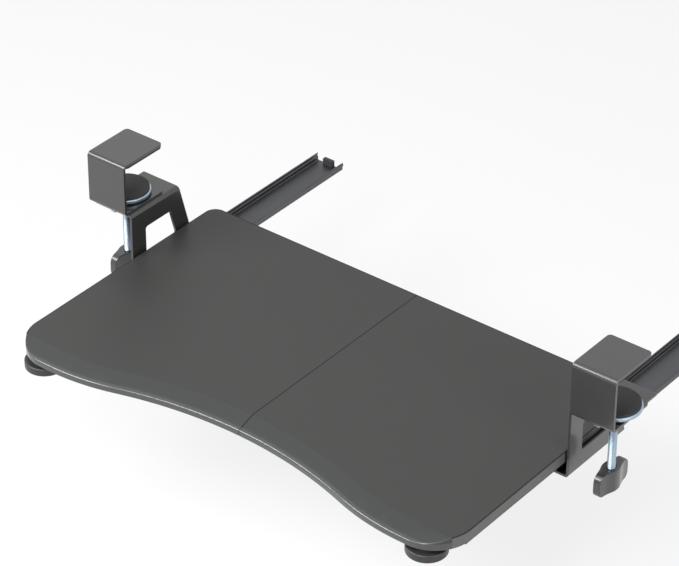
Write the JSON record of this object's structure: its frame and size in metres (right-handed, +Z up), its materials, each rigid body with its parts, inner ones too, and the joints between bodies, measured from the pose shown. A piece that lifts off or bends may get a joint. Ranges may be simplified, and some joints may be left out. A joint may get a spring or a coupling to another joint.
{
  "type": "keyboard tray",
  "caption": "Clamp-on under-desk keyboard tray: board in two halves with a hollow front edge, on ball slides held by bent steel clamps with screws and wing knobs.",
  "frame": {"origin": "the middle of the desk's front top edge, between the two clamps", "axes": "+X to the right along the desk's edge, +Y back under the desk, +Z up"},
  "size_m": [0.624, 0.4671, 0.142],
  "materials": {
    "tray_laminate": "dark satin laminate on fibreboard",
    "edge_plastic": "satin edge band",
    "painted_steel": "dark grey satin powder coat",
    "black_screws": "black coated steel",
    "zinc_plate": "bright bluish zinc plate",
    "slide_steel": "rolled zinc plated steel",
    "ball_steel": "polished ball steel",
    "pad_rubber": "matt soft pad",
    "foot_rubber": "satin black rubber",
    "knob_plastic": "moulded satin plastic",
    "dowel_wood": "beech dowel"
  },
  "bodies": {
    "frame": {"left_clamp_frame": "painted_steel", "left_desk_pad": "pad_rubber", "left_side_bracket": "painted_steel", "left_bracket_screws": "black_screws", "left_bracket_nuts": "zinc_plate", "left_clamp_nut": "zinc_plate", "left_slide_outer": "slide_steel", "left_slide_screws": "zinc_plate", "left_slide_nuts": "zinc_plate", "left_slide_bumper": "pad_rubber", "right_clamp_frame": "painted_steel", "right_desk_pad": "pad_rubber", "right_side_bracket": "painted_steel", "right_bracket_screws": "black_screws", "right_bracket_nuts": "zinc_plate", "right_clamp_nut": "zinc_plate", "right_slide_outer": "slide_steel", "right_slide_screws": "zinc_plate", "right_slide_nuts": "zinc_plate", "right_slide_bumper": "pad_rubber"},
    "tray": {"left_tray_half": "tray_laminate", "left_edge_band": "edge_plastic", "left_slide_inner": "slide_steel", "left_inner_slide_screws": "zinc_plate", "left_foot": "foot_rubber", "left_foot_screw": "zinc_plate", "right_tray_half": "tray_laminate", "right_edge_band": "edge_plastic", "right_slide_inner": "slide_steel", "right_inner_slide_screws": "zinc_plate", "right_foot": "foot_rubber", "right_foot_screw": "zinc_plate", "front_joining_plate": "black_screws", "back_joining_plate": "black_screws", "joining_screws": "zinc_plate", "alignment_dowels": "dowel_wood"},
    "left_cage": {"left_ball_cage": "slide_steel", "left_slide_balls": "ball_steel"},
    "left_disc": {"left_pressure_disc": "zinc_plate", "left_disc_pad": "pad_rubber"},
    "left_screw": {"left_clamp_screw": "zinc_plate", "left_wing_knob": "knob_plastic"},
    "right_cage": {"right_ball_cage": "slide_steel", "right_slide_balls": "ball_steel"},
    "right_disc": {"right_pressure_disc": "zinc_plate", "right_disc_pad": "pad_rubber"},
    "right_screw": {"right_clamp_screw": "zinc_plate", "right_wing_knob": "knob_plastic"}
  },
  "joints": [
    {"name": "tray_slide", "type": "slide", "parent": "frame", "child": "tray", "axis": [0, 1, 0], "range_m": [-0.012, 0.175]},
    {"name": "left_cage_slide", "type": "slide", "parent": "frame", "child": "left_cage", "axis": [0, 1, 0], "range_m": [-0.006, 0.0875]},
    {"name": "left_screw_travel", "type": "slide", "parent": "frame", "child": "left_disc", "axis": [0, 0, 1], "range_m": [-0.00094, 0.04]},
    {"name": "left_screw_turn", "type": "hinge", "parent": "left_disc", "child": "left_screw", "pos_m": [-0.287, 0.0285, -0.1], "axis": [0, 0, 1], "range_deg": [-270.5, 11520.5]},
    {"name": "right_cage_slide", "type": "slide", "parent": "frame", "child": "right_cage", "axis": [0, 1, 0], "range_m": [-0.006, 0.0875]},
    {"name": "right_screw_travel", "type": "slide", "parent": "frame", "child": "right_disc", "axis": [0, 0, 1], "range_m": [-0.00094, 0.04]},
    {"name": "right_screw_turn", "type": "hinge", "parent": "right_disc", "child": "right_screw", "pos_m": [0.287, 0.0285, -0.1], "axis": [0, 0, 1], "range_deg": [-270.5, 11520.5]}
  ],
  "couplings": [
    {"joint": "left_cage_slide", "follows": "tray_slide", "ratio": 0.5},
    {"joint": "left_screw_turn", "follows": "left_screw_travel", "rad_per_m": 5026.5},
    {"joint": "right_cage_slide", "follows": "tray_slide", "ratio": 0.5},
    {"joint": "right_screw_turn", "follows": "right_screw_travel", "rad_per_m": 5026.5}
  ]
}
